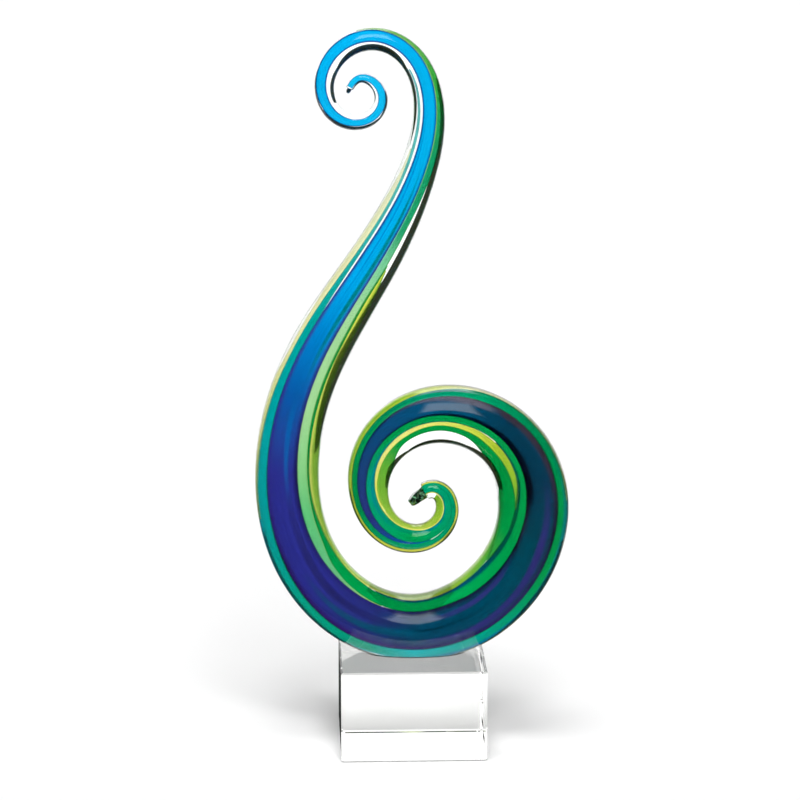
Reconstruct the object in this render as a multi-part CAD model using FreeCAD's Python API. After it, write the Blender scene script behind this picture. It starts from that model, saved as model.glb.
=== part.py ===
# Glass scroll sculpture on a clear block: one drawn and curled rod of cased coloured glass, glued by its
# ground foot to a polished square block.
#
# Frame: origin at the centre of the block's underside, +Z up, +X to the right and -Y towards the viewer.
# The curled rod lies in the XZ plane. Lengths are in millimetres.
#
# The rod is drawn as two arms that leave the foot in opposite directions. Along an arm the bend (one over
# the bend radius) changes evenly from one row to the next, as it does in a rod that is curled by hand, and
# the diameter changes smoothly.
import FreeCAD, Part
import math
import os

# Block and glue
block_side = 75.0
block_height = 47.5
block_bevel = 0.8
glue_thickness = 0.2

# Foot: the lowest point of the ring, ground flat where it stands on the block
foot_offset = 1.0
foot_grind_depth = 4.9
foot_diameter_share = 0.951

# Rod
rod_diameter = 37.0
coil_arm_length = 320.0
stem_arm_length = 480.0

# Bend radius at the foot, as a share of each arm's length, so that a longer arm makes the same curl larger
coil_bend_share = 0.1640625
stem_bend_share = 0.109375

# Right arm, from the foot round the ring and into the coil. A row is a length of the arm as a share of the
# whole arm, then the bend and the diameter at that length's end, as shares of the foot's bend and of the
# rod's diameter.
coil_shares = (
    (0.15625, 0.729, 1.0),
    (0.15625, 0.897, 0.989),
    (0.125, 1.167, 0.892),
    (0.09375, 1.154, 0.827),
    (0.09375, 1.419, 0.730),
    (0.125, 1.438, 0.541),
    (0.109375, 2.720, 0.411),
    (0.09375, 3.750, 0.308),
    (0.03125, 8.750, 0.262),
    (0.015625, 4.770, 0.249),
)

# Left arm, from the foot up the ring's left side, through the stem and into the small curl at the top.
# A negative bend turns the other way.
stem_shares = (
    (0.125, 0.700, 0.9135),
    (0.125, 0.404, 0.8865),
    (0.125, 0.3144, 0.8324),
    (0.125, -0.1332, 0.6919),
    (0.1042, -0.3144, 0.5189),
    (0.0833, -1.019, 0.406),
    (0.0729, -2.234, 0.318),
    (0.0729, -2.075, 0.284),
    (0.06875, -3.547, 0.230),
    (0.0458, -4.861, 0.184),
    (0.0271, -5.000, 0.137),
    (0.0083, -10.50, 0.121),
    (0.01665, -1.75, 0.105),
)

# Snapped ends: a short faceted stub where the rod was broken off the iron
coil_stub_length = 9.5
coil_stub_root = 6.4
coil_stub_tip = 4.6
coil_stub_lean = 8.0
stem_stub_length = 2.4
stem_stub_root = 2.8
stem_stub_tip = 2.2
stem_stub_lean = 2.0
stub_sink = 0.6
stub_facet_shares = (1.0, 0.86, 1.0, 0.8, 0.95, 0.9, 0.82)

# Coloured bars inside the clear rod. The glass bends what is seen of them, so each edge is given as it
# shows to an eye in front of the sculpture, as a share of the rod's radius: -1 is the edge on the ring's
# inner side, and 1 the edge on its outer side. A row is place along the rod, one edge, other edge. A place
# is a share of the right arm's length where it is positive and of the left arm's where it is negative.
glass_index = 1.5
core_share = 0.655
eye_offset = -64.9
eye_distance = 1605.7
eye_height = 553.2

cobalt_shares = (
    (-0.99, -0.85, 0.6),
    (-0.96, -0.8, 0.42),
    (-0.91, -0.53, 0.31),
    (-0.875, -0.74, 0.27),
    (-0.83, -0.92, 0.12),
    (-0.79, -0.88, 0.2),
    (-0.75, -0.7, 0.31),
    (-0.71, -0.57, 0.36),
    (-0.67, -0.46, 0.38),
    (-0.58, -0.34, 0.44),
    (-0.5, -0.26, 0.52),
    (-0.415, -0.265, 0.535),
    (-0.33, -0.275, 0.578),
    (-0.25, -0.31, 0.61),
    (-0.17, -0.38, 0.64),
    (-0.08, -0.46, 0.7),
    (0.0, -0.45, 0.66),
    (0.0625, -0.455, 0.67),
    (0.125, -0.385, 0.68),
    (0.25, -0.265, 0.675),
    (0.375, -0.135, 0.68),
    (0.5, -0.085, 0.61),
    (0.5625, -0.04, 0.58),
    (0.625, -0.01, 0.55),
    (0.6875, 0.065, 0.525),
    (0.75, 0.12, 0.515),
    (0.8125, 0.175, 0.47),
    (0.85, 0.27, 0.4),
    (0.885, 0.35, 0.37),
)
teal_shares = (
    (-0.72, 0.58, 0.68),
    (-0.66, 0.545, 0.7),
    (-0.58, 0.56, 0.68),
    (-0.5, 0.6, 0.73),
    (-0.46, 0.585, 0.755),
    (-0.415, 0.547, 0.77),
    (-0.375, 0.567, 0.775),
    (-0.33, 0.59, 0.825),
    (-0.25, 0.622, 0.885),
    (-0.17, 0.652, 0.93),
    (-0.08, 0.712, 0.965),
    (0.0, 0.672, 0.9),
    (0.0625, 0.682, 0.965),
    (0.125, 0.692, 0.955),
    (0.25, 0.687, 0.92),
    (0.375, 0.692, 0.91),
    (0.5, 0.622, 0.885),
    (0.5625, 0.592, 0.81),
    (0.625, 0.562, 0.77),
    (0.75, 0.527, 0.775),
    (0.8125, 0.482, 0.77),
    (0.885, 0.382, 0.75),
    (0.9375, 0.372, 0.725),
    (0.98, 0.34, 0.67),
)
straw_shares = (
    (-0.625, 0.7, 0.76),
    (-0.58, 0.692, 0.87),
    (-0.54, 0.72, 0.95),
    (-0.5, 0.742, 0.95),
    (-0.46, 0.767, 0.95),
    (-0.415, 0.782, 0.89),
    (-0.375, 0.787, 0.87),
    (-0.33, 0.837, 0.95),
    (-0.25, 0.897, 0.965),
    (-0.2, 0.932, 0.965),
)
mint_shares = (
    (-0.79, -0.965, -0.91),
    (-0.77, -0.965, -0.815),
    (-0.75, -0.95, -0.712),
    (-0.71, -0.93, -0.582),
    (-0.67, -0.9, -0.472),
    (-0.58, -0.66, -0.352),
    (-0.54, -0.57, -0.3),
    (-0.5, -0.55, -0.272),
    (-0.46, -0.5, -0.272),
    (-0.415, -0.53, -0.277),
    (-0.33, -0.56, -0.287),
    (-0.25, -0.62, -0.322),
    (-0.17, -0.68, -0.392),
    (-0.125, -0.58, -0.445),
    (-0.083, -0.53, -0.472),
    (-0.045, -0.486, -0.472),
)
green_shares = (
    (-0.5, -0.585, -0.565),
    (-0.46, -0.565, -0.512),
    (-0.415, -0.6, -0.542),
    (-0.33, -0.635, -0.572),
    (-0.25, -0.67, -0.632),
    (-0.21, -0.72, -0.672),
    (-0.17, -0.8, -0.692),
    (-0.125, -0.83, -0.592),
    (-0.083, -0.82, -0.542),
    (-0.042, -0.778, -0.492),
    (0.0, -0.723, -0.462),
    (0.0625, -0.73, -0.467),
    (0.125, -0.68, -0.397),
    (0.1875, -0.62, -0.335),
    (0.25, -0.52, -0.277),
    (0.3125, -0.42, -0.21),
    (0.375, -0.3, -0.147),
    (0.5, -0.285, -0.097),
    (0.5625, -0.255, -0.052),
    (0.625, -0.245, -0.022),
    (0.6875, -0.25, 0.053),
    (0.75, -0.35, 0.108),
    (0.8125, -0.52, 0.163),
    (0.85, -0.545, 0.25),
    (0.885, -0.44, 0.335),
    (0.9375, -0.27, 0.36),
    (0.98, -0.298, 0.328),
)
lime_shares = (
    (-0.495, -0.62, -0.598),
    (-0.46, -0.75, -0.577),
    (-0.415, -0.8, -0.612),
    (-0.33, -0.83, -0.647),
    (-0.25, -0.955, -0.682),
    (-0.21, -0.965, -0.732),
    (-0.17, -0.965, -0.812),
    (-0.125, -0.965, -0.842),
    (-0.042, -0.965, -0.832),
    (0.0, -0.965, -0.787),
    (0.0625, -0.965, -0.797),
    (0.125, -0.965, -0.787),
    (0.1875, -0.965, -0.768),
    (0.22, -0.965, -0.85),
    (0.25, -0.965, -0.905),
    (0.305, -0.96, -0.935),
)
peacock_shares = (
    (-0.055, -0.826, -0.811),
    (-0.02, -0.795, -0.768),
    (0.0, -0.775, -0.735),
    (0.0625, -0.785, -0.742),
    (0.125, -0.775, -0.692),
    (0.1875, -0.735, -0.632),
    (0.25, -0.6, -0.532),
    (0.3125, -0.49, -0.432),
    (0.375, -0.348, -0.312),
    (0.44, -0.325, -0.305),
)
leaf_shares = (
    (0.2, -0.768, -0.742),
    (0.22, -0.828, -0.69),
    (0.25, -0.893, -0.615),
    (0.29, -0.9, -0.547),
    (0.3125, -0.9, -0.505),
    (0.375, -0.83, -0.532),
    (0.4375, -0.82, -0.562),
    (0.5, -0.64, -0.472),
    (0.5625, -0.56, -0.392),
    (0.625, -0.6, -0.432),
    (0.6875, -0.88, -0.432),
    (0.72, -0.95, -0.432),
    (0.75, -0.95, -0.462),
    (0.7813, -0.95, -0.562),
    (0.8125, -0.95, -0.602),
    (0.85, -0.95, -0.637),
    (0.885, -0.95, -0.542),
    (0.9375, -0.95, -0.372),
    (0.975, -0.93, -0.43),
)
lemon_shares = (
    (0.325, -0.497, -0.479),
    (0.375, -0.52, -0.362),
    (0.4375, -0.55, -0.338),
    (0.5, -0.46, -0.297),
    (0.5625, -0.38, -0.267),
    (0.625, -0.42, -0.257),
    (0.6875, -0.415, -0.262),
    (0.72, -0.418, -0.3),
    (0.75, -0.448, -0.362),
    (0.8125, -0.59, -0.532),
    (0.85, -0.62, -0.563),
    (0.885, -0.53, -0.452),
    (0.9375, -0.36, -0.282),
    (0.985, -0.4, -0.31),
)
rim_shares = (
    (0.315, 0.93, 0.95),
    (0.375, 0.922, 0.965),
    (0.5, 0.9, 0.97),
    (0.5625, 0.822, 0.965),
    (0.625, 0.782, 0.95),
    (0.75, 0.787, 0.94),
    (0.8125, 0.782, 0.95),
    (0.885, 0.767, 0.945),
    (0.9375, 0.737, 0.93),
    (0.98, 0.682, 0.85),
)

# Drawing steps
step_length = 0.5
longest_span = 24.0
largest_turn_degrees = 20.0

flat_height = block_height + glue_thickness
foot_diameter = foot_diameter_share * rod_diameter


def smooth_value(places, values, place):
    """Value at a place from a table, by a smooth curve that never overshoots its rows."""
    last = len(places) - 1
    rates = [(values[i + 1] - values[i]) / (places[i + 1] - places[i]) for i in range(last)]
    slopes = [rates[0]]
    for before, after in zip(rates, rates[1:]):
        slopes.append(2 * before * after / (before + after) if before * after > 0 else 0)
    slopes.append(rates[-1])
    i = 0
    while i < last - 1 and place > places[i + 1]:
        i += 1
    span = places[i + 1] - places[i]
    t = min(max((place - places[i]) / span, 0), 1)
    return (values[i] * (1 + 2 * t) * (1 - t) ** 2 + slopes[i] * span * t * (1 - t) ** 2
            + values[i + 1] * t * t * (3 - 2 * t) + slopes[i + 1] * span * t * t * (t - 1))


def arm_stations(rows, arm_length, bend_radius, start_heading, turn):
    """Points (run, x, z, heading, radius) along one arm, a short step apart.

    The heading is the sum of the bend over the run, and the place is the sum of the heading's direction.
    """
    runs = [0]
    for row in rows:
        runs.append(runs[-1] + row[0] * arm_length)
    bends = [turn / bend_radius] + [turn * row[1] / bend_radius for row in rows]
    diameters = [foot_diameter] + [row[2] * rod_diameter for row in rows]
    x = foot_offset
    z = flat_height + foot_diameter / 2 - foot_grind_depth
    heading = start_heading
    stations = [(0, x, z, heading, foot_diameter / 2)]
    for i in range(len(rows)):
        count = max(2, round((runs[i + 1] - runs[i]) / step_length))
        length = (runs[i + 1] - runs[i]) / count
        for j in range(count):
            middle_bend = bends[i] + (bends[i + 1] - bends[i]) * (j + 0.5) / count
            middle = heading + middle_bend * length / 2
            x += length * math.cos(middle)
            z += length * math.sin(middle)
            heading += middle_bend * length
            run = runs[i] + length * (j + 1)
            stations.append((run, x, z, heading, smooth_value(runs, diameters, run) / 2))
    return stations


def whole_rod():
    """Both arms as one list of (place, x, z, heading, radius), from the top curl to the coil."""
    stem = arm_stations(stem_shares, stem_arm_length, stem_bend_share * stem_arm_length, math.pi, -1)
    coil = arm_stations(coil_shares, coil_arm_length, coil_bend_share * coil_arm_length, 0, 1)
    back = [(-run, x, z, heading - math.pi, radius) for run, x, z, heading, radius in reversed(stem)]
    return back + coil[1:]


def station_at(rod, place):
    """The rod's station at a place, by a straight blend between the two nearest steps."""
    for before, after in zip(rod, rod[1:]):
        if after[0] >= place:
            t = (place - before[0]) / (after[0] - before[0])
            return tuple(a + (b - a) * t for a, b in zip(before, after))
    return rod[-1]


def section_places(rod, first, last):
    """Places for loft sections: closer together where the rod turns fast, and evenly changing."""
    inside = [station for station in rod if first < station[0] < last]
    inside = [station_at(rod, first)] + inside + [station_at(rod, last)]
    efforts = [0]
    for before, after in zip(inside, inside[1:]):
        turned = abs(math.degrees(after[3] - before[3])) / largest_turn_degrees
        run = (after[0] - before[0]) / longest_span
        efforts.append(efforts[-1] + math.hypot(turned, run))
    count = max(3, math.ceil(efforts[-1]))
    places = [first]
    for efforts_before, efforts_after, before, after in zip(efforts, efforts[1:], inside, inside[1:]):
        while len(places) < count and efforts_after >= len(places) * efforts[-1] / count:
            aim = len(places) * efforts[-1] / count
            t = (aim - efforts_before) / (efforts_after - efforts_before)
            places.append(before[0] + (after[0] - before[0]) * t)
    return places + [last]


def point_in_section(station, across, depth):
    """A point of the rod's cross-section: across is outwards on the ring, depth is towards the viewer."""
    _, x, z, heading, _ = station
    return FreeCAD.Vector(x + across * math.sin(heading), -depth, z - across * math.cos(heading))


def polar_point(station, radius, angle):
    """A point of the cross-section by its angle from the front, towards the ring's outer side."""
    return point_in_section(station, radius * math.sin(angle), radius * math.cos(angle))


def arc_poles(station, radius, start, finish):
    """An arc of the cross-section as three weighted poles, the middle one where the end tangents meet."""
    half = (finish - start) / 2
    return [
        (polar_point(station, radius, start), 1),
        (polar_point(station, radius / math.cos(half), start + half), math.cos(half)),
        (polar_point(station, radius, finish), 1),
    ]


def round_outline(station):
    """The rod's own outline across, as four quarter arcs."""
    quarter = math.pi / 2
    return [arc_poles(station, station[4], i * quarter, (i + 1) * quarter) for i in range(4)]


def sight_angles(edge_share):
    """Where the line of sight at this share of the radius enters and leaves the coloured core.

    The line bends on entering the glass. The first angle is from the front and the second from the back,
    both towards the ring's outer side.
    """
    turn = math.asin(edge_share) - math.asin(edge_share / glass_index)
    reach = math.asin(edge_share / (glass_index * core_share))
    return reach + turn, reach - turn


def eye_angle(station):
    """How far the eye stands off a cross-section's front, towards the ring's outer side."""
    _, x, z, heading, _ = station
    outward = (eye_offset - x) * math.sin(heading) - (eye_height - z) * math.cos(heading)
    return math.atan2(outward, eye_distance)


def bar_outline(station, low, high):
    """Outline across a coloured bar: two arcs of the core's circle and two walls along lines of sight."""
    radius = station[4] * core_share
    low_front, low_back = sight_angles(low)
    high_front, high_back = sight_angles(high)
    sight = eye_angle(station)
    front = arc_poles(station, radius, sight + low_front, sight + high_front)
    back = arc_poles(station, radius, sight + math.pi - high_back, sight + math.pi - low_back)
    return [front, [front[-1], back[0]], back, [back[-1], front[0]]]


def column(points, parameters):
    """Poles of a smooth curve along the rod, through one weighted point of each section."""
    lifted = Part.BSplineCurve()
    lifted.interpolate(Points=[point * weight for point, weight in points], Parameters=parameters)
    weighing = Part.BSplineCurve()
    weighing.interpolate(Points=[FreeCAD.Vector(weight, parameter, 0)
                                 for (_, weight), parameter in zip(points, parameters)],
                         Parameters=parameters)
    weights = [pole.x for pole in weighing.getPoles()]
    poles = [pole / weight for pole, weight in zip(lifted.getPoles(), weights)]
    return poles, weights, lifted


def skin_strip(strips, parameters):
    """One smooth face along the rod through the same side of every section's outline."""
    columns = [column(points, parameters) for points in zip(*strips)]
    curve = columns[0][2]
    across = len(columns) - 1
    surface = Part.BSplineSurface()
    surface.buildFromPolesMultsKnots([poles for poles, _, _ in columns],
                                     [across + 1, across + 1], curve.getMultiplicities(),
                                     [0, 1], curve.getKnots(), False, False, across, curve.Degree,
                                     [weights for _, weights, _ in columns])
    return surface


def skinned_solid(outlines):
    """Solid through a row of outlines, each with the same number of sides, closed by a flat face at each end."""
    parameters = [i / (len(outlines) - 1) for i in range(len(outlines))]
    surfaces = [skin_strip(strips, parameters) for strips in zip(*outlines)]
    faces = [surface.toShape() for surface in surfaces]
    for end in (0, 1):
        faces.append(Part.Face(Part.Wire([surface.vIso(end).toShape() for surface in surfaces])))
    shell = Part.makeShell(faces)
    shell.sewShape()
    solid = Part.makeSolid(shell)
    return solid if solid.Volume > 0 else solid.reversed()


def coloured_bar(rod, rows):
    """One coloured bar, skinned through its outlines along the rod."""
    places = [row[0] * (coil_arm_length if row[0] > 0 else stem_arm_length) for row in rows]
    lows = [row[1] for row in rows]
    highs = [row[2] for row in rows]
    return skinned_solid([
        bar_outline(station_at(rod, place), smooth_value(places, lows, place),
                    smooth_value(places, highs, place))
        for place in section_places(rod, places[0], places[-1])])


def snapped_stub(station, away, length, root, tip, lean):
    """Faceted stub on a rod end: a leaning prism between two uneven polygons."""
    _, x, z, heading, _ = station
    travel = heading if away > 0 else heading + math.pi
    travel += math.radians(lean)
    axis = FreeCAD.Vector(math.cos(travel), 0, math.sin(travel))
    side = FreeCAD.Vector(math.sin(travel), 0, -math.cos(travel))
    front = FreeCAD.Vector(0, -1, 0)
    facets = len(stub_facet_shares)
    wires = []
    for along, diameter, start in ((-stub_sink, root, 0), (length, tip, 2)):
        centre = FreeCAD.Vector(x, 0, z) + axis * along
        points = []
        for i in range(facets):
            angle = 2 * math.pi * i / facets
            reach = diameter / 2 * stub_facet_shares[(i + start) % facets]
            points.append(centre + side * (reach * math.cos(angle)) + front * (reach * math.sin(angle)))
        wires.append(Part.makePolygon(points + points[:1]))
    return Part.makeLoft(wires, True, True)


def solid_rod(rod):
    """The whole rod, with its snapped stubs and its ground foot."""
    places = section_places(rod, rod[0][0], rod[-1][0])
    glass = skinned_solid([round_outline(station_at(rod, place)) for place in places])
    stubs = (
        snapped_stub(rod[-1], 1, coil_stub_length, coil_stub_root, coil_stub_tip, coil_stub_lean),
        snapped_stub(rod[0], -1, stem_stub_length, stem_stub_root, stem_stub_tip, stem_stub_lean),
    )
    for stub in stubs:
        glass = glass.fuse(stub)
    reach = coil_bend_share * coil_arm_length
    corner = FreeCAD.Vector(foot_offset - reach, -foot_diameter, flat_height - foot_diameter)
    below = Part.makeBox(2 * reach, 2 * foot_diameter, foot_diameter, corner)
    return glass.cut(below)


def clear_casing(glass, bars):
    """The clear glass alone: the rod's skin outside, and a sealed hollow inside for each coloured bar."""
    skins = [glass.Shells[0]] + [bar.Shells[0].reversed() for bar in bars]
    return Part.makeSolid(Part.Compound(skins))


def glue_film(glass):
    """Thin film of clear glue, the outline of the ground foot, between the rod and the block."""
    flat = min(glass.Faces, key=lambda face: face.CenterOfMass.z)
    return flat.extrude(FreeCAD.Vector(0, 0, -glue_thickness))


def polished_block():
    """Square block of clear crystal with its twelve edges bevelled."""
    block = Part.makeBox(block_side, block_side, block_height,
                         FreeCAD.Vector(-block_side / 2, -block_side / 2, 0))
    return block.makeChamfer(block_bevel, block.Edges)


def main():
    os.makedirs("parts", exist_ok=True)
    rod = whole_rod()
    bar_rows = {
        "cobalt_core_bar": cobalt_shares,
        "teal_bar": teal_shares,
        "straw_yellow_bar": straw_shares,
        "mint_green_bar": mint_shares,
        "green_bar": green_shares,
        "lime_bar": lime_shares,
        "peacock_thread": peacock_shares,
        "leaf_green_bar": leaf_shares,
        "lemon_bar": lemon_shares,
        "lime_rim_thread": rim_shares,
    }
    shapes = {name: coloured_bar(rod, rows) for name, rows in bar_rows.items()}
    glass = solid_rod(rod)
    shapes["clear_glass_casing"] = clear_casing(glass, list(shapes.values()))
    shapes["glue_film"] = glue_film(glass)
    shapes["crystal_block"] = polished_block()
    for name, shape in shapes.items():
        shape.exportStep("parts/" + name + ".step")
        box = shape.BoundBox
        print(name, "solids", len(shape.Solids), "faces", len(shape.Faces), "valid", shape.isValid(),
              "volume", round(shape.Volume, 1), "z", round(box.ZMin, 2), round(box.ZMax, 2))


main()
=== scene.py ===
import math

import bpy
import numpy as np
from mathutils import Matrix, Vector


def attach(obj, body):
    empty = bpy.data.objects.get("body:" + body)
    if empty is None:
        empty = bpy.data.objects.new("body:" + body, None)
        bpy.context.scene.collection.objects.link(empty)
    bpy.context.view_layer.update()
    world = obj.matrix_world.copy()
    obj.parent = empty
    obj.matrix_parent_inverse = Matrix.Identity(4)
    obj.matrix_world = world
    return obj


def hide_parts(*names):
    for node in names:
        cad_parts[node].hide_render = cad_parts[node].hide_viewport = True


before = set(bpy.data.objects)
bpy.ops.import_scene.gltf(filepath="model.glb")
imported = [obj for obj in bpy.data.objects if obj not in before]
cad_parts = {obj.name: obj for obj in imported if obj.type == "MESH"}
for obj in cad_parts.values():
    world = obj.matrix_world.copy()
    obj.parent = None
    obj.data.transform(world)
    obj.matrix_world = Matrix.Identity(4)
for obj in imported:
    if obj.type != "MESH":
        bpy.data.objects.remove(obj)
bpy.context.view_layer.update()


# Camera
# A long lens 1.6 m in front of the sculpture and above its top, looking down and slightly to the right.
# Its place was worked out from the block's edges in the picture.
eye = (-0.0649, -1.6057, 0.5532)
look_down = 13.01
look_right = 2.10
lens_data = bpy.data.cameras.new("photo_camera")
lens_data.sensor_width = 36.0
lens_data.lens = 144.8
lens_data.clip_end = 60.0
camera = bpy.data.objects.new("photo_camera", lens_data)
camera.location = eye
camera.rotation_euler = (math.radians(90 - look_down), 0, math.radians(-look_right))
bpy.context.scene.collection.objects.link(camera)
bpy.context.scene.camera = camera


# Clear casing
# Clear glass gathered over the coloured bars and drawn out with them into one tapering rod, curled by hand
# into a ring and coil on the right and a stem with a small curl at the top. Its foot is ground flat and
# sits in optical contact with the glue.
glass_index = 1.5
flat_height = 0.0477
contact_overlap = 0.00025
foot_offset = 0.001
foot_grind_depth = 0.0049
foot_bend_radius = 0.0525
rod_diameter = 0.037
foot_diameter = 0.951 * rod_diameter
coil_arm_length = 0.320
stem_arm_length = 0.480
arm_samples = 2001
bend_step = 0.05
run_step = 0.0016
lip_radius = 0.0009
lip_rows = 8
casing_row_count = 750
casing_side_count = 96
sharp_angle = 50
# A row of an arm is a share of its length, the bend at the row's end as a multiple of the foot's, and the
# rod's width there as a share of its diameter.
coil_shares = (
    (0.15625, 0.729, 1.0),
    (0.15625, 0.897, 0.989),
    (0.125, 1.167, 0.892),
    (0.09375, 1.154, 0.827),
    (0.09375, 1.419, 0.730),
    (0.125, 1.438, 0.541),
    (0.109375, 2.720, 0.411),
    (0.09375, 3.750, 0.308),
    (0.03125, 8.750, 0.262),
    (0.015625, 4.770, 0.249),
)
stem_shares = (
    (0.125, 0.700, 0.9135),
    (0.125, 0.404, 0.8865),
    (0.125, 0.3144, 0.8324),
    (0.125, -0.1332, 0.6919),
    (0.1042, -0.3144, 0.5189),
    (0.0833, -1.019, 0.406),
    (0.0729, -2.234, 0.318),
    (0.0729, -2.075, 0.284),
    (0.06875, -3.547, 0.230),
    (0.0458, -4.861, 0.184),
    (0.0271, -5.000, 0.137),
    (0.0083, -10.50, 0.121),
    (0.01665, -1.75, 0.105),
)


def smooth_value(places, values, place):
    """Value at each place from a table, by a cubic curve whose slope at a row is the harmonic mean of its
    neighbours' slopes, so that it never overshoots."""
    places, values = np.asarray(places, float), np.asarray(values, float)
    span = np.diff(places)
    rate = np.diff(values) / span
    product = rate[:-1] * rate[1:]
    total = np.where(product > 0, rate[:-1] + rate[1:], 1)
    slope = np.concatenate([rate[:1], np.where(product > 0, 2 * product / total, 0), rate[-1:]])
    i = np.clip(np.searchsorted(places, place) - 1, 0, len(span) - 1)
    t = np.clip((place - places[i]) / span[i], 0, 1)
    return (values[i] * (1 + 2 * t) * (1 - t) ** 2 + slope[i] * span[i] * t * (1 - t) ** 2
            + values[i + 1] * t * t * (3 - 2 * t) + slope[i + 1] * span[i] * t * t * (t - 1))


def running_sum(values, step):
    """Integral from the start to each point, by the trapezium rule."""
    return np.concatenate([[0], np.cumsum((values[1:] + values[:-1]) / 2)]) * step


def arm_line(shares, length, start_heading, turn):
    """Columns (run, x, z, heading, radius) along one arm. The bend changes evenly from row to row, the
    heading is the integral of the bend, and the place is the integral of the heading's direction."""
    runs = np.concatenate([[0], np.cumsum([row[0] for row in shares])]) * length
    bends = turn * np.array([1] + [row[1] for row in shares]) / foot_bend_radius
    widths = np.array([foot_diameter] + [row[2] * rod_diameter for row in shares])
    run = np.linspace(0, runs[-1], arm_samples)
    step = run[1]
    heading = start_heading + running_sum(np.interp(run, runs, bends), step)
    x = foot_offset + running_sum(np.cos(heading), step)
    z = flat_height + foot_diameter / 2 - foot_grind_depth + running_sum(np.sin(heading), step)
    return np.stack([run, x, z, heading, smooth_value(runs, widths, run) / 2], 1)


# The stem's arm is turned round, so that places run from the top curl, which is negative, past the foot,
# which is 0, to the coil.
stem_line = arm_line(stem_shares, stem_arm_length, math.pi, -1)[::-1]
stem_line = stem_line * [-1, 1, 1, 1, 1] - [0, 0, 0, math.pi, 0]
rod_line = np.concatenate([stem_line[:-1], arm_line(coil_shares, coil_arm_length, 0, 1)])


def rod_at(first, last, count):
    """Rows of the rod between two places, at even steps of an effort that adds up the root of run squared
    plus turn squared, so that they lie closer together where the rod turns fast."""
    effort = np.concatenate([[0], np.cumsum(np.hypot(np.diff(rod_line[:, 0]) / run_step,
                                                     np.diff(rod_line[:, 3]) / bend_step))])
    ends = np.interp([first, last], rod_line[:, 0], effort)
    places = np.interp(np.linspace(ends[0], ends[1], count), effort, rod_line[:, 0])
    return np.stack([np.interp(places, rod_line[:, 0], column) for column in rod_line.T], 1)


def section_points(rows, radius, angle):
    """Points of the round cross-sections, radius times sine across the rod and radius times cosine towards
    the front: angle 0 is the front and a quarter turn is the ring's outer side."""
    x, z, heading = (rows[:, i, None] for i in (1, 2, 3))
    across = radius * np.sin(angle)
    return np.stack([x + across * np.sin(heading), -radius * np.cos(angle),
                     z - across * np.cos(heading)], -1)


def tube_object(name, points, uv_along, uv_across, smooth=True):
    """A closed tube over a grid of points (along, around), with flat ends and a UV map (along, across):
    each square joins a point to the next one round, and both to the same two of the next section."""
    along, around, _ = points.shape
    corner = np.arange(along * around).reshape(along, around)
    right = np.roll(corner, -1, 1)
    quads = np.stack([corner[:-1], right[:-1], right[1:], corner[1:]], -1).reshape(-1, 4)
    faces = quads.tolist() + [corner[0, ::-1].tolist(), corner[-1].tolist()]
    mesh = bpy.data.meshes.new(name)
    mesh.from_pydata(points.reshape(-1, 3).tolist(), [], faces)
    u = np.broadcast_to(uv_along[:, None], (along, around + 1))
    v = np.broadcast_to(uv_across, (along, around + 1))
    uv = np.stack([u, v], -1)
    quad_uv = np.stack([uv[:-1, :-1], uv[:-1, 1:], uv[1:, 1:], uv[1:, :-1]], -2).reshape(-1, 2)
    cap_uv = np.concatenate([uv[0, -2::-1], uv[-1, :-1]])
    layer = mesh.uv_layers.new(name="rod")
    layer.data.foreach_set("uv", np.concatenate([quad_uv, cap_uv]).ravel())
    mesh.polygons.foreach_set("use_smooth", [smooth] * len(mesh.polygons))
    mesh.update()
    thing = bpy.data.objects.new(name, mesh)
    bpy.context.scene.collection.objects.link(thing)
    return thing


class Wire:
    """A shader socket that takes part in sums: each +, -, *, / or ** adds one Math node."""

    def __init__(self, paint, socket):
        self.paint, self.socket = paint, socket

    def maths(self, operation, first, second):
        node = self.paint.tree.nodes.new("ShaderNodeMath")
        node.operation = operation
        for socket, value in zip(node.inputs, (first, second)):
            self.paint.feed(socket, value)
        return Wire(self.paint, node.outputs[0])

    def __add__(self, other):
        return self.maths("ADD", self, other)

    def __radd__(self, other):
        return self.maths("ADD", other, self)

    def __sub__(self, other):
        return self.maths("SUBTRACT", self, other)

    def __rsub__(self, other):
        return self.maths("SUBTRACT", other, self)

    def __mul__(self, other):
        return self.maths("MULTIPLY", self, other)

    def __rmul__(self, other):
        return self.maths("MULTIPLY", other, self)

    def __truediv__(self, other):
        return self.maths("DIVIDE", self, other)

    def __rtruediv__(self, other):
        return self.maths("DIVIDE", other, self)

    def __pow__(self, other):
        return self.maths("POWER", self, other)


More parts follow.
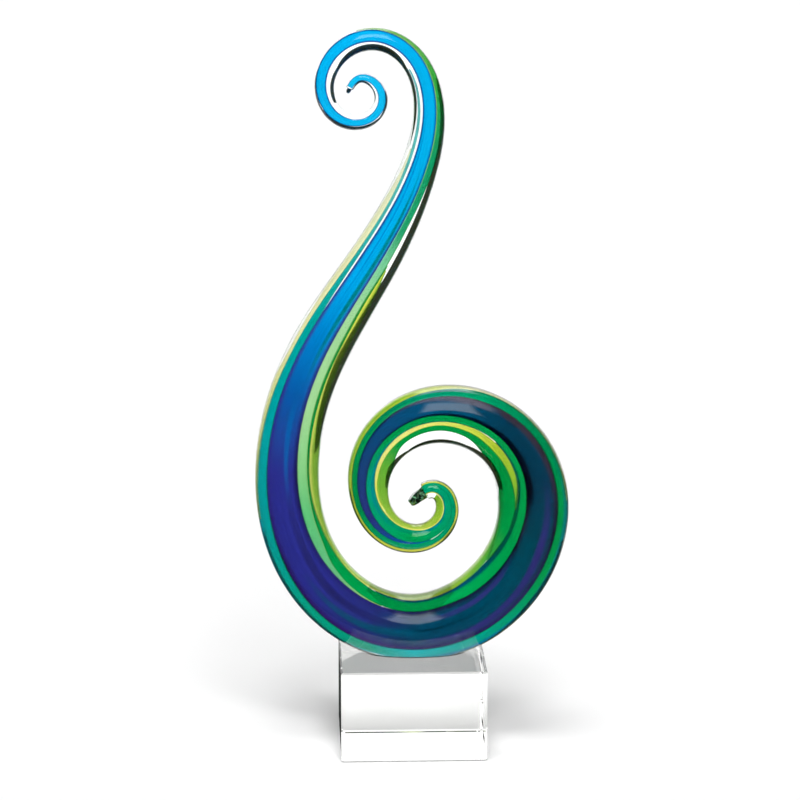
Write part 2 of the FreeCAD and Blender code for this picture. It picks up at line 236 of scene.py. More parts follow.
class Paint:
    """The nodes of a material, or of the world: its shader, and the few kinds that are used again here."""

    def __init__(self, name, owner=None, shader="Principled BSDF"):
        self.material = owner or bpy.data.materials.new(name)
        self.material.use_nodes = True
        self.tree = self.material.node_tree
        self.shader = self.tree.nodes[shader]

    def feed(self, socket, value):
        if isinstance(value, Wire):
            self.tree.links.new(value.socket, socket)
        else:
            socket.default_value = value

    def node(self, kind, inputs, output=0, **settings):
        """Any node: inputs by name or number, settings as properties, and one of its outputs as a wire."""
        node = self.tree.nodes.new(kind)
        for key, value in settings.items():
            setattr(node, key, value)
        for key, value in inputs.items():
            self.feed(node.inputs[key], value)
        return Wire(self, node.outputs[output])

    def split(self, vector, count=3):
        """The parts of a vector or of a colour as wires."""
        node = self.tree.nodes.new("ShaderNodeSeparateXYZ")
        self.feed(node.inputs[0], vector)
        return [Wire(self, socket) for socket in node.outputs[:count]]

    def object_place(self):
        """Place in the scene, as every piece sits at its origin."""
        return self.node("ShaderNodeTexCoord", {}, output=3)

    def point(self, x, y, z=0.0):
        return self.node("ShaderNodeCombineXYZ", {0: x, 1: y, 2: z})

    def noise(self, place, scale, detail=2.0):
        return self.node("ShaderNodeTexNoise", {"Vector": place, "Scale": scale, "Detail": detail})

    def step(self, value, low, high, start=0.0, finish=1.0):
        """Smooth step from start to finish as value goes from low to high."""
        return self.node("ShaderNodeMapRange",
                         {"Value": value, 1: low, 2: high, 3: start, 4: finish},
                         interpolation_type="SMOOTHSTEP")

    def mix(self, share, first, second):
        return self.node("ShaderNodeMix", {0: share, 6: first, 7: second}, output=2, data_type="RGBA")

    def ramp(self, value, stops, lowest, highest):
        """Colour along a range: stops are (value, colour), blended evenly between them."""
        node = self.tree.nodes.new("ShaderNodeValToRGB")
        self.feed(node.inputs[0], (value - lowest) / (highest - lowest))
        elements = node.color_ramp.elements
        for i, (place, colour) in enumerate(stops):
            share = (place - lowest) / (highest - lowest)
            element = elements[i] if i < 2 else elements.new(share)
            element.position = share
            element.color = colour
        return Wire(self, node.outputs[0])

    def set(self, **values):
        for key, value in values.items():
            self.feed(self.shader.inputs[key.replace("_", " ")], value)


def rgb(red, green, blue):
    """A shader colour from the 0 to 255 values of a picture."""
    def linear(value):
        share = value / 255
        return share / 12.92 if share <= 0.04045 else ((share + 0.055) / 1.055) ** 2.4
    return (linear(red), linear(green), linear(blue), 1.0)


# Fire-polished lips: towards each end the radius shrinks as a quarter circle.
top_end, coil_end = rod_line[0, 0], rod_line[-1, 0]
casing_rows = np.concatenate([
    rod_at(top_end, top_end + lip_radius, lip_rows)[:-1],
    rod_at(top_end + lip_radius, coil_end - lip_radius, casing_row_count),
    rod_at(coil_end - lip_radius, coil_end, lip_rows)[1:],
])
to_end = np.minimum(casing_rows[:, 0] - top_end, coil_end - casing_rows[:, 0]) / lip_radius
to_end = np.clip(to_end, 0, 1)
casing_radius = casing_rows[:, 4] - lip_radius * (1 - np.sqrt(1 - (1 - to_end) ** 2))
around = np.linspace(0, 2 * math.pi, casing_side_count + 1)
casing_points = section_points(casing_rows, casing_radius[:, None], around[None, :-1])
casing_points[..., 2] = np.maximum(casing_points[..., 2], flat_height - contact_overlap)
casing = tube_object("clear_casing", casing_points, casing_rows[:, 0], around / (2 * math.pi))
casing.data.set_sharp_from_angle(angle=math.radians(sharp_angle))
casing_paint = Paint("clear_glass")
casing_paint.set(Base_Color=(0.985, 0.995, 0.985, 1), Roughness=0.0, IOR=glass_index,
                 Transmission_Weight=1.0)
casing.data.materials.append(casing_paint.material)
casing.visible_shadow = False
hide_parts("clear_glass_casing")
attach(casing, "root")


# Snapped nubs
# What is left at both ends of the glass by which the rod was held while hot: uneven faceted stubs of clear
# and green glass, snapped off and left rough. Their pale patches are partly the clear glass and partly
# painted glints.
nub_facets = (1.0, 0.86, 1.0, 0.8, 0.95, 0.9, 0.82)
nub_lengths = np.array((-0.05, 0.12, 0.6, 0.9, 1.0))
root_widths = np.array((0.8, 1.0, 0.96, 0.0, 0.0))
tip_widths = np.array((0.0, 0.0, 0.0, 1.0, 0.7))
nub_twist = 0.3
nub_patch_scale = 420.0


def snapped_nub(name, row, away, length, root, tip, lean, dark, pale):
    """A faceted prism that leans off the rod's end. Its rings stand at shares of the length, each turned by
    a part of a facet against the last, and each corner's reach is the ring's half width times its facet's
    share."""
    _, x, z, heading, _ = row
    travel = heading + (0 if away > 0 else math.pi) + math.radians(lean)
    axis = np.array([math.cos(travel), 0, math.sin(travel)])
    side = np.array([math.sin(travel), 0, -math.cos(travel)])
    front = np.array([0, -1, 0])
    facet_count, ring_count = len(nub_facets), len(nub_lengths)
    ring = np.arange(ring_count)
    angle = 2 * math.pi * (np.arange(facet_count) + nub_twist * ring[:, None]) / facet_count
    shares = np.stack([np.roll(nub_facets, turn) for turn in ring])
    reach = (root_widths * root + tip_widths * tip)[:, None] / 2 * shares
    centres = np.array([x, 0, z]) + axis * (nub_lengths * length)[:, None]
    points = (centres[:, None] + side * (reach * np.cos(angle))[..., None]
              + front * (reach * np.sin(angle))[..., None])
    nub = tube_object(name, points, np.linspace(0, 1, ring_count), np.linspace(0, 1, facet_count + 1),
                      smooth=False)
    paint = Paint(name)
    # Pale patches over the dark green: partly clear glass, partly painted glints.
    pale_glint_patches = paint.step(paint.noise(paint.object_place(), nub_patch_scale, 1.0), 0.5, 0.6)
    paint.set(Base_Color=paint.mix(pale_glint_patches, rgb(*dark), rgb(*pale)), Roughness=0.04, IOR=glass_index,
              Transmission_Weight=0.7)
    nub.data.materials.append(paint.material)
    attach(nub, "root")


snapped_nub("coil_nub", rod_line[-1], away=1, length=0.0096, root=0.007, tip=0.0058, lean=12.0,
            dark=(14, 34, 20), pale=(130, 200, 150))
snapped_nub("top_nub", rod_line[0], away=-1, length=0.0023, root=0.0026, tip=0.002, lean=2.0,
            dark=(26, 44, 34), pale=(70, 120, 80))


# Coloured bars: what they share
# Each bar lies in the rod's core. Its two walls follow lines of sight from the front, so that it shows as
# one clean stripe through the lens of the round rod. Neighbours melt into each other, with no clear glass
# between them, and each was drawn out with its own rims and streaks.
core_share = 0.655
melt_share = 0.0075
edge_limit = 0.975
bar_row_count = 320
wall_point_count = 15
grain_share = 0.10
grain_along, grain_across = 3.0, 14.0
bar_clearness = 0.78


def bar_object(name, shares):
    """A bar between its two edges. A row of shares is a place, as a share of its arm, and the two edges as
    shares of the rod's radius, as seen from the front. At each share t from the low edge to the high one,
    the line of sight meets the core's circle at a front point and a back point: the asin terms are Snell's
    law in the round rod, and sight is the angle by which the eye stands off the section's front."""
    lengths = [row[0] * (coil_arm_length if row[0] > 0 else stem_arm_length) for row in shares]
    rows = rod_at(lengths[0], lengths[-1], bar_row_count)
    low = smooth_value(lengths, [row[1] for row in shares], rows[:, 0])[:, None] - melt_share
    high = smooth_value(lengths, [row[2] for row in shares], rows[:, 0])[:, None] + melt_share
    t = np.linspace(0, 1, wall_point_count)[None, :]
    edge = np.clip(low + (high - low) * t, -edge_limit, edge_limit)
    turn = np.arcsin(edge) - np.arcsin(edge / glass_index)
    reach = np.arcsin(edge / (glass_index * core_share))
    x, z, heading = rows[:, 1], rows[:, 2], rows[:, 3]
    outward = (eye[0] - x) * np.sin(heading) - (eye[2] - z) * np.cos(heading)
    sight = np.arctan2(outward, -eye[1])[:, None]
    angle = np.concatenate([sight + reach + turn, (sight + math.pi - reach + turn)[:, ::-1]], 1)
    points = section_points(rows, core_share * rows[:, 4, None], angle)
    across = np.concatenate([t[0], t[0, ::-1], t[0, :1]])
    places = np.where(rows[:, 0] > 0, rows[:, 0] / coil_arm_length, rows[:, 0] / stem_arm_length)
    return tube_object(name, points, places, across)


def along(paint, place, stops):
    """Colour along the rod: a stop is a place and a 0 to 255 colour."""
    return paint.ramp(place, [(stop[0], rgb(*stop[1:])) for stop in stops], -1.0, 1.0)


def streaked(paint, place, across, ground, colour, rows):
    """A drawn-out streak over the ground colour; a few of them are painted sheen and highlights. A row is
    place, centre and half width across the bar, and strength; the streak fades as a smooth hump from its
    centre to its half width."""
    shape = paint.ramp(place, [(row[0], (row[1], row[2], row[3], 1)) for row in rows], -1.0, 1.0)
    centre, width, strength = paint.split(shape)
    off = (across - centre) / (width + 0.001)
    return paint.mix(paint.step(off * off, 0.0, 1.0, 1.0, 0.0) * strength, ground, rgb(*colour))


def bar_paint(name, middle, inner, outer, streaks=(), rim_width=0.2):
    """Coloured glass of the casing's own index: a middle colour, the colours of the rims towards the ring's
    inner and outer side, streaks laid over them, some of which are painted sheen and highlights, and a fine
    drawn grain that darkens it here and there."""
    paint = Paint(name)
    place, across = paint.split(paint.node("ShaderNodeUVMap", {}, uv_map="rod"), 2)
    colour = paint.mix(paint.step(across, 0.0, rim_width), along(paint, place, inner),
                       along(paint, place, middle))
    colour = paint.mix(paint.step(across, 1.0 - rim_width, 1.0), colour, along(paint, place, outer))
    for streak_colour, rows in streaks:
        colour = streaked(paint, place, across, colour, streak_colour, rows)
    grain = paint.noise(paint.point(place * grain_along, across * grain_across), 1.0, 3.0)
    shade = paint.step(grain, 0.35, 0.65, 1.0 - grain_share, 1.0)
    colour = paint.node("ShaderNodeVectorMath", {0: colour, "Scale": shade}, operation="SCALE")
    paint.set(Base_Color=colour, Roughness=0.0, IOR=1.0, Transmission_Weight=bar_clearness)
    return paint.material


def add_bar(name, node, shares, material):
    bar = bar_object(name, shares)
    bar.data.materials.append(material)
    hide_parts(node)
    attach(bar, "root")


# Cobalt core bar
# The widest bar runs the rod's whole length: clear cyan in the top curl, violet-blue on the ring's left
# side and deep navy in the coil, with violet rims and teal and violet streaks. On the coil's top its greyer
# outer rim and a grey-mauve streak are a painted sheen, the reflection of a soft box.
cobalt_shares = (
    (-0.998, -0.85, 0.62),
    (-0.96, -0.8, 0.42),
    (-0.91, -0.53, 0.31),
    (-0.875, -0.74, 0.27),
    (-0.83, -0.92, 0.12),
    (-0.79, -0.88, 0.2),
    (-0.75, -0.7, 0.31),
    (-0.71, -0.57, 0.36),
    (-0.67, -0.46, 0.38),
    (-0.58, -0.34, 0.44),
    (-0.5, -0.26, 0.52),
    (-0.415, -0.265, 0.535),
    (-0.33, -0.275, 0.578),
    (-0.25, -0.31, 0.61),
    (-0.17, -0.38, 0.64),
    (-0.08, -0.46, 0.7),
    (0.0, -0.45, 0.66),
    (0.0625, -0.455, 0.67),
    (0.125, -0.385, 0.68),
    (0.25, -0.265, 0.675),
    (0.375, -0.135, 0.68),
    (0.5, -0.085, 0.61),
    (0.5625, -0.04, 0.58),
    (0.625, -0.01, 0.55),
    (0.6875, 0.065, 0.525),
    (0.75, 0.12, 0.515),
    (0.8125, 0.175, 0.47),
    (0.85, 0.27, 0.4),
    (0.885, 0.35, 0.37),
)
cobalt_middle = (
    (-1, 20, 205, 252), (-0.86, 5, 192, 250), (-0.66, 5, 190, 250), (-0.54, 0, 186, 248),
    (-0.47, 0, 176, 244), (-0.4, 0, 136, 214), (-0.33, 10, 92, 174), (-0.25, 46, 50, 150),
    (-0.12, 46, 49, 148), (-0.05, 40, 50, 125), (0, 6, 72, 104), (0.12, 0, 76, 100), (0.25, 0, 72, 90),
    (0.34, 8, 58, 82), (0.45, 6, 62, 88), (0.55, 0, 84, 122), (0.68, 20, 72, 128), (0.78, 44, 52, 134),
    (0.83, 16, 76, 160), (0.885, 0, 96, 178),
)
cobalt_inner = (
    (-1, 40, 150, 215), (-0.875, 2, 84, 165), (-0.8, 0, 60, 150), (-0.72, 0, 90, 170),
    (-0.6, 0, 96, 175), (-0.54, 30, 50, 140), (-0.48, 60, 40, 145), (-0.35, 50, 38, 135),
    (-0.25, 24, 16, 70), (-0.12, 44, 44, 120), (-0.05, 44, 44, 120), (0.05, 30, 26, 60),
    (0.2, 16, 14, 50), (0.3, 36, 28, 50), (0.36, 4, 4, 24), (0.5, 6, 8, 50), (0.62, 14, 8, 56),
    (0.72, 40, 30, 100), (0.8, 46, 52, 130), (0.885, 0, 120, 150),
)
# From 0.5 to 0.58 the outer rim's grey-mauve is part of the painted sheen on the coil's top.
cobalt_outer = (
    (-1, 30, 140, 200), (-0.86, 0, 70, 160), (-0.75, 50, 60, 165), (-0.66, 0, 56, 150),
    (-0.5, 30, 40, 145), (-0.4, 56, 42, 150), (-0.25, 52, 42, 142), (-0.15, 44, 22, 90),
    (-0.04, 56, 24, 112), (0.03, 44, 24, 100), (0.15, 52, 28, 100), (0.27, 36, 24, 60),
    (0.42, 60, 46, 62), (0.5, 70, 60, 70), (0.58, 90, 80, 96), (0.64, 14, 18, 70), (0.75, 30, 34, 96),
    (0.8, 36, 48, 120), (0.885, 0, 110, 150),
)
cobalt_streaks_and_sheen = (
    ((0, 134, 134), (
        (-0.62, 0.3, 0.05, 0), (-0.56, 0.26, 0.1, 0.9), (-0.5, 0.22, 0.12, 0.9),
        (-0.44, 0.25, 0.12, 0.95), (-0.38, 0.28, 0.08, 0.6), (-0.35, 0.27, 0.06, 0),
    )),
    ((0, 120, 205), (
        (-0.68, 0.8, 0.05, 0), (-0.6, 0.72, 0.07, 0.6), (-0.5, 0.62, 0.06, 0.5), (-0.44, 0.6, 0.05, 0),
    )),
    ((0, 105, 182), (
        (-0.345, 0.4, 0.14, 0), (-0.31, 0.42, 0.14, 0.9), (-0.26, 0.38, 0.1, 0.7),
        (-0.21, 0.33, 0.08, 0),
    )),
    ((38, 40, 104), (
        (-0.24, 0.35, 0.1, 0), (-0.17, 0.3, 0.14, 0.7), (-0.1, 0.38, 0.14, 0.8), (-0.04, 0.35, 0.1, 0.5),
        (0.01, 0.35, 0.1, 0),
    )),
    ((0, 88, 118), (
        (-0.14, 0.62, 0.06, 0), (-0.1, 0.64, 0.08, 0.6), (-0.05, 0.62, 0.11, 0.9),
        (-0.01, 0.56, 0.13, 0.9), (0.03, 0.6, 0.1, 0),
    )),
    ((50, 48, 124), (
        (0, 0.22, 0.05, 0), (0.06, 0.26, 0.09, 0.7), (0.12, 0.22, 0.09, 0.95), (0.18, 0.16, 0.09, 0.9),
        (0.215, 0.1, 0.05, 0),
    )),
    ((54, 46, 126), (
        (0, 0.8, 0.08, 0), (0.03, 0.8, 0.08, 0.6), (0.1, 0.82, 0.1, 0.9), (0.18, 0.78, 0.12, 0.9),
        (0.25, 0.7, 0.16, 0.95), (0.3, 0.68, 0.14, 0.6), (0.36, 0.66, 0.1, 0),
    )),
    ((0, 50, 72), (
        (-0.02, 0.5, 0.05, 0), (0.02, 0.52, 0.07, 0.7), (0.1, 0.5, 0.06, 0.5), (0.2, 0.42, 0.05, 0),
    )),
    ((2, 6, 26), (
        (0.3, 0.05, 0.1, 0), (0.33, 0.12, 0.16, 0.95), (0.4, 0.12, 0.18, 0.95), (0.47, 0.08, 0.14, 0.9),
        (0.53, 0.05, 0.1, 0.6), (0.6, 0.05, 0.06, 0),
    )),
    ((62, 48, 62), (
        (0.3, 0.92, 0.08, 0), (0.38, 0.9, 0.14, 0.8), (0.46, 0.88, 0.2, 0.9), (0.475, 0.9, 0.1, 0),
    )),
    # Painted sheen: grey-mauve over the outer side of the coil's top, a reflection of a soft box high in
    # front.
    ((118, 112, 126), (
        (0.472, 0.8, 0.12, 0), (0.482, 0.82, 0.18, 0.7), (0.52, 0.85, 0.2, 0.7), (0.56, 0.9, 0.16, 0.5),
        (0.6, 0.95, 0.1, 0),
    )),
)
add_bar("cobalt_bar_glass", "cobalt_core_bar", cobalt_shares,
        bar_paint("cobalt_glass", cobalt_middle, cobalt_inner, cobalt_outer, cobalt_streaks_and_sheen))


# Teal bar
# Teal along the stem and the ring's outer side, with a bluer outer rim, turning green where the rod enters
# the coil. A pale grey-blue streak near its outer side on the coil's top is a painted highlight.
teal_shares = (
    (-0.72, 0.58, 0.68),
    (-0.66, 0.545, 0.7),
    (-0.58, 0.56, 0.68),
    (-0.5, 0.6, 0.73),
    (-0.46, 0.585, 0.755),
    (-0.415, 0.547, 0.77),
    (-0.375, 0.567, 0.775),
    (-0.33, 0.59, 0.825),
    (-0.25, 0.622, 0.885),
    (-0.17, 0.652, 0.93),
    (-0.08, 0.712, 0.965),
    (0.0, 0.672, 0.9),
    (0.0625, 0.682, 0.965),
    (0.125, 0.692, 0.955),
    (0.25, 0.687, 0.92),
    (0.375, 0.692, 0.91),
    (0.5, 0.622, 0.885),
    (0.5625, 0.592, 0.81),
    (0.625, 0.562, 0.77),
    (0.75, 0.527, 0.775),
    (0.8125, 0.482, 0.77),
    (0.885, 0.382, 0.75),
    (0.9375, 0.372, 0.725),
    (0.998, 0.33, 0.65),
)
teal_middle = (
    (-0.72, 120, 205, 205), (-0.6, 90, 200, 195), (-0.5, 30, 180, 175), (-0.42, 0, 176, 165),
    (-0.3, 0, 176, 178), (-0.2, 0, 174, 172), (-0.1, 0, 172, 140), (-0.04, 0, 170, 136),
    (0, 0, 198, 202), (0.04, 0, 186, 182), (0.12, 0, 168, 130), (0.2, 0, 166, 84), (0.3, 0, 164, 80),
    (0.42, 0, 150, 90), (0.5, 0, 168, 112), (0.56, 0, 160, 120), (0.62, 0, 158, 80), (0.75, 0, 156, 78),
    (0.85, 0, 166, 110), (0.98, 0, 170, 120),
)
teal_inner = (
    (-0.72, 150, 215, 215), (-0.4, 0, 170, 160), (-0.2, 0, 168, 130), (-0.08, 0, 160, 110),
    (0, 0, 176, 190), (0.1, 0, 172, 110), (0.3, 0, 165, 75), (0.5, 0, 172, 120), (0.56, 70, 170, 160),
    (0.65, 0, 160, 76), (0.9, 0, 166, 110),
)
teal_outer = (
    (-0.72, 150, 215, 205), (-0.46, 0, 172, 178), (-0.3, 0, 168, 185), (-0.1, 0, 178, 205),
    (0, 0, 196, 206), (0.06, 0, 160, 200), (0.15, 0, 136, 170), (0.28, 0, 130, 136), (0.36, 0, 108, 84),
    (0.45, 0, 100, 72), (0.52, 0, 120, 112), (0.56, 40, 140, 160), (0.62, 0, 120, 110),
    (0.75, 0, 140, 90), (0.9, 0, 160, 100),
)
teal_streaks_and_highlight = (
    ((0, 134, 184), (
        (0.0, 0.85, 0.1, 0), (0.05, 0.88, 0.2, 0.8), (0.12, 0.9, 0.2, 0.9), (0.2, 0.85, 0.18, 0.7),
        (0.3, 0.8, 0.14, 0.6), (0.4, 0.6, 0.12, 0),
    )),
    # Painted highlight: pale grey-blue near the teal's outer side on the coil's top.
    ((134, 160, 176), (
        (0.49, 0.7, 0.1, 0), (0.52, 0.72, 0.16, 0.7), (0.56, 0.8, 0.16, 0.7), (0.59, 0.9, 0.1, 0),
    )),
    ((0, 112, 116), (
        (0.57, 0.5, 0.1, 0), (0.61, 0.55, 0.16, 0.7), (0.66, 0.6, 0.14, 0.5), (0.72, 0.6, 0.1, 0),
    )),
)
add_bar("teal_bar_glass", "teal_bar", teal_shares,
        bar_paint("teal_glass", teal_middle, teal_inner, teal_outer, teal_streaks_and_highlight))


# Straw yellow bar
# A pale yellow thread along the stem's left edge.
straw_shares = (
    (-0.625, 0.7, 0.76),
    (-0.58, 0.692, 0.87),
    (-0.54, 0.72, 0.95),
    (-0.5, 0.742, 0.95),
    (-0.46, 0.767, 0.95),
    (-0.415, 0.782, 0.89),
    (-0.375, 0.787, 0.87),
    (-0.33, 0.837, 0.95),
    (-0.25, 0.897, 0.965),
    (-0.2, 0.932, 0.965),
)
straw_middle = (
    (-0.65, 255, 255, 224), (-0.5, 255, 255, 206), (-0.42, 255, 254, 196), (-0.35, 250, 250, 176),
    (-0.2, 238, 240, 160),
)
straw_inner = (
    (-0.65, 255, 254, 210), (-0.45, 255, 250, 172), (-0.2, 240, 242, 160),
)
straw_outer = (
    (-0.65, 255, 255, 225), (-0.4, 252, 250, 200), (-0.2, 236, 236, 170),
)
add_bar("straw_bar_glass", "straw_yellow_bar", straw_shares,
        bar_paint("straw_glass", straw_middle, straw_inner, straw_outer))


# Mint green bar
# Pale green along the stem's inner side, deeper green where the stem turns over into the top curl.
mint_shares = (
    (-0.79, -0.965, -0.91),
    (-0.77, -0.965, -0.815),
    (-0.75, -0.95, -0.712),
    (-0.71, -0.93, -0.582),
    (-0.67, -0.9, -0.472),
    (-0.58, -0.66, -0.352),
    (-0.54, -0.57, -0.3),
    (-0.5, -0.55, -0.272),
    (-0.46, -0.5, -0.272),
    (-0.415, -0.53, -0.277),
    (-0.33, -0.56, -0.287),
    (-0.25, -0.62, -0.322),
    (-0.17, -0.68, -0.392),
    (-0.125, -0.58, -0.445),
    (-0.083, -0.53, -0.472),
    (-0.045, -0.486, -0.472),
)
mint_middle = (
    (-0.79, 150, 205, 110), (-0.7, 60, 180, 70), (-0.62, 20, 170, 110), (-0.54, 40, 180, 120),
    (-0.5, 136, 226, 168), (-0.44, 182, 240, 172), (-0.33, 182, 240, 168), (-0.25, 150, 228, 148),
    (-0.2, 106, 214, 134), (-0.12, 110, 200, 140), (-0.05, 150, 200, 110),
)
mint_inner = (
    (-0.79, 60, 160, 60), (-0.66, 10, 150, 60), (-0.58, 0, 160, 90), (-0.5, 60, 170, 90),
    (-0.4, 130, 205, 110), (-0.3, 130, 205, 100), (-0.2, 150, 215, 120), (-0.05, 60, 170, 90),
)
mint_outer = (
    (-0.79, 200, 225, 150), (-0.66, 150, 205, 110), (-0.58, 120, 200, 150), (-0.52, 150, 215, 200),
    (-0.4, 175, 222, 160), (-0.3, 175, 220, 150), (-0.2, 60, 175, 110), (-0.1, 130, 205, 150),
    (-0.05, 200, 225, 130),
)
add_bar("mint_bar_glass", "mint_green_bar", mint_shares,
        bar_paint("mint_glass", mint_middle, mint_inner, mint_outer))


# Green bar
# Strong green from the stem's foot through the ring, widest at the coil's end, where it has a blue streak.
green_shares = (
    (-0.5, -0.585, -0.565),
    (-0.46, -0.565, -0.512),
    (-0.415, -0.6, -0.542),
    (-0.33, -0.635, -0.572),
    (-0.25, -0.67, -0.632),
    (-0.21, -0.72, -0.672),
    (-0.17, -0.8, -0.692),
    (-0.125, -0.83, -0.592),
    (-0.083, -0.82, -0.542),
    (-0.042, -0.778, -0.492),
    (0.0, -0.723, -0.462),
    (0.0625, -0.73, -0.467),
    (0.125, -0.68, -0.397),
    (0.1875, -0.62, -0.335),
    (0.25, -0.52, -0.277),
    (0.3125, -0.42, -0.21),
    (0.375, -0.3, -0.147),
    (0.5, -0.285, -0.097),
    (0.5625, -0.255, -0.052),
    (0.625, -0.245, -0.022),
    (0.6875, -0.25, 0.053),
    (0.75, -0.35, 0.108),
    (0.8125, -0.52, 0.163),
    (0.85, -0.545, 0.25),
    (0.885, -0.44, 0.335),
    (0.9375, -0.27, 0.36),
    (0.998, -0.3, 0.318),
)
green_middle = (
    (-0.5, 60, 170, 60), (-0.3, 0, 160, 76), (-0.1, 0, 166, 80), (0.1, 0, 168, 84), (0.3, 0, 164, 78),
    (0.5, 0, 168, 84), (0.65, 0, 162, 80), (0.72, 0, 162, 130), (0.8, 0, 168, 112), (0.86, 0, 166, 84),
    (0.92, 0, 166, 112), (0.98, 0, 166, 120),
)
green_inner = (
    (-0.5, 60, 170, 60), (-0.1, 0, 160, 80), (0, 0, 150, 110), (0.3, 0, 126, 84), (0.4, 0, 130, 90),
    (0.6, 0, 130, 130), (0.68, 0, 130, 160), (0.75, 0, 145, 140), (0.82, 0, 160, 100),
    (0.9, 0, 150, 160), (0.98, 0, 160, 120),
)
green_outer = (
    (-0.5, 60, 170, 60), (-0.1, 0, 160, 84), (0, 0, 155, 72), (0.5, 0, 160, 76), (0.98, 0, 166, 112),
)
green_streaks = (
    ((0, 138, 162), (
        (0.6, 0.06, 0.06, 0), (0.68, 0.2, 0.16, 0.9), (0.76, 0.36, 0.16, 0.8), (0.82, 0.3, 0.1, 0.3),
        (0.87, 0.2, 0.1, 0.3), (0.91, 0.16, 0.14, 0.9), (0.96, 0.14, 0.1, 0.4), (0.985, 0.14, 0.1, 0),
    )),
)
add_bar("green_bar_glass", "green_bar", green_shares,
        bar_paint("green_glass", green_middle, green_inner, green_outer, green_streaks))


# Lime bar
# Yellow-green along the inner side of the stem and the ring, with a yellow rim towards the green.
lime_shares = (
    (-0.495, -0.62, -0.598),
    (-0.46, -0.75, -0.577),
    (-0.415, -0.8, -0.612),
    (-0.33, -0.83, -0.647),
    (-0.25, -0.955, -0.682),
    (-0.21, -0.965, -0.732),
    (-0.17, -0.965, -0.812),
    (-0.125, -0.965, -0.842),
    (-0.042, -0.965, -0.832),
    (0.0, -0.965, -0.787),
    (0.0625, -0.965, -0.797),
    (0.125, -0.965, -0.787),
    (0.1875, -0.965, -0.768),
    (0.22, -0.965, -0.85),
    (0.25, -0.965, -0.905),
    (0.305, -0.96, -0.935),
)
lime_middle = (
    (-0.49, 196, 214, 70), (-0.4, 178, 212, 60), (-0.33, 160, 205, 66), (-0.25, 140, 194, 62),
    (-0.17, 165, 208, 72), (-0.1, 176, 212, 90), (-0.04, 165, 206, 86), (0, 150, 192, 80),
    (0.06, 160, 202, 80), (0.12, 150, 200, 70), (0.19, 100, 190, 62), (0.25, 120, 196, 70),
    (0.3, 190, 206, 120),
)
lime_inner = (
    (-0.4, 120, 180, 60), (-0.25, 128, 186, 60), (-0.1, 170, 206, 100), (0.1, 170, 205, 90),
    (0.3, 200, 215, 130),
)
lime_outer = (
    (-0.49, 246, 236, 100), (-0.35, 240, 238, 112), (-0.25, 236, 236, 118), (-0.15, 222, 232, 116),
    (-0.08, 235, 240, 130), (-0.02, 200, 220, 110), (0.06, 185, 208, 60), (0.12, 120, 190, 60),
    (0.2, 0, 165, 75),
)
add_bar("lime_bar_glass", "lime_bar", lime_shares,
        bar_paint("lime_glass", lime_middle, lime_inner, lime_outer, rim_width=0.5))


# Peacock thread
# A thin blue-green thread between the lime and green bars in the ring.
peacock_shares = (
    (-0.055, -0.826, -0.811),
    (-0.02, -0.795, -0.768),
    (0.0, -0.775, -0.735),
    (0.0625, -0.785, -0.742),
    (0.125, -0.775, -0.692),
    (0.1875, -0.735, -0.632),
    (0.25, -0.6, -0.532),
    (0.3125, -0.49, -0.432),
    (0.375, -0.348, -0.312),
    (0.44, -0.325, -0.305),
)
peacock_middle = (
    (-0.06, 0, 100, 110), (0, 0, 80, 110), (0.1, 0, 80, 120), (0.2, 0, 76, 90), (0.28, 0, 96, 64),
    (0.36, 0, 110, 100), (0.44, 0, 120, 96),
)
peacock_inner = (
    (-0.06, 0, 110, 110), (0.1, 0, 90, 110), (0.28, 0, 110, 70), (0.44, 0, 130, 90),
)
peacock_outer = (
    (-0.06, 0, 110, 110), (0.1, 0, 110, 110), (0.28, 0, 120, 76), (0.44, 0, 130, 90),
)
add_bar("peacock_bar_glass", "peacock_thread", peacock_shares,
        bar_paint("peacock_glass", peacock_middle, peacock_inner, peacock_outer))


# Leaf green bar
# Leaf green along the coil's inner side, turning lime where it covers the whole inner side again.
leaf_shares = (
    (0.1875, -0.766, -0.738),
    (0.22, -0.842, -0.672),
    (0.25, -0.893, -0.615),
    (0.29, -0.9, -0.547),
    (0.3125, -0.9, -0.505),
    (0.375, -0.83, -0.532),
    (0.4375, -0.82, -0.562),
    (0.5, -0.64, -0.472),
    (0.5625, -0.56, -0.392),
    (0.625, -0.6, -0.432),
    (0.6875, -0.88, -0.432),
    (0.72, -0.95, -0.432),
    (0.75, -0.95, -0.462),
    (0.7813, -0.95, -0.562),
    (0.8125, -0.95, -0.602),
    (0.85, -0.95, -0.637),
    (0.885, -0.95, -0.542),
    (0.9375, -0.95, -0.372),
    (0.975, -0.93, -0.43),
)
leaf_middle = (
    (0.2, 60, 180, 70), (0.26, 0, 168, 76), (0.4, 0, 164, 72), (0.55, 0, 164, 74), (0.64, 0, 166, 72),
    (0.69, 110, 190, 60), (0.75, 135, 200, 62), (0.82, 170, 210, 76), (0.88, 190, 216, 86),
    (0.93, 160, 206, 60), (0.975, 140, 196, 50),
)
leaf_inner = (
    (0.2, 130, 200, 70), (0.3, 10, 150, 60), (0.44, 0, 120, 50), (0.55, 0, 150, 60), (0.68, 0, 150, 60),
    (0.74, 125, 190, 60), (0.8, 190, 200, 70), (0.86, 226, 232, 120), (0.93, 215, 230, 110),
)
leaf_outer = (
    (0.2, 0, 165, 75), (0.5, 0, 164, 74), (0.66, 60, 180, 70), (0.72, 150, 205, 64), (0.8, 215, 222, 96),
    (0.86, 235, 232, 110), (0.9, 170, 208, 66),
)
add_bar("leaf_bar_glass", "leaf_green_bar", leaf_shares,
        bar_paint("leaf_glass", leaf_middle, leaf_inner, leaf_outer))


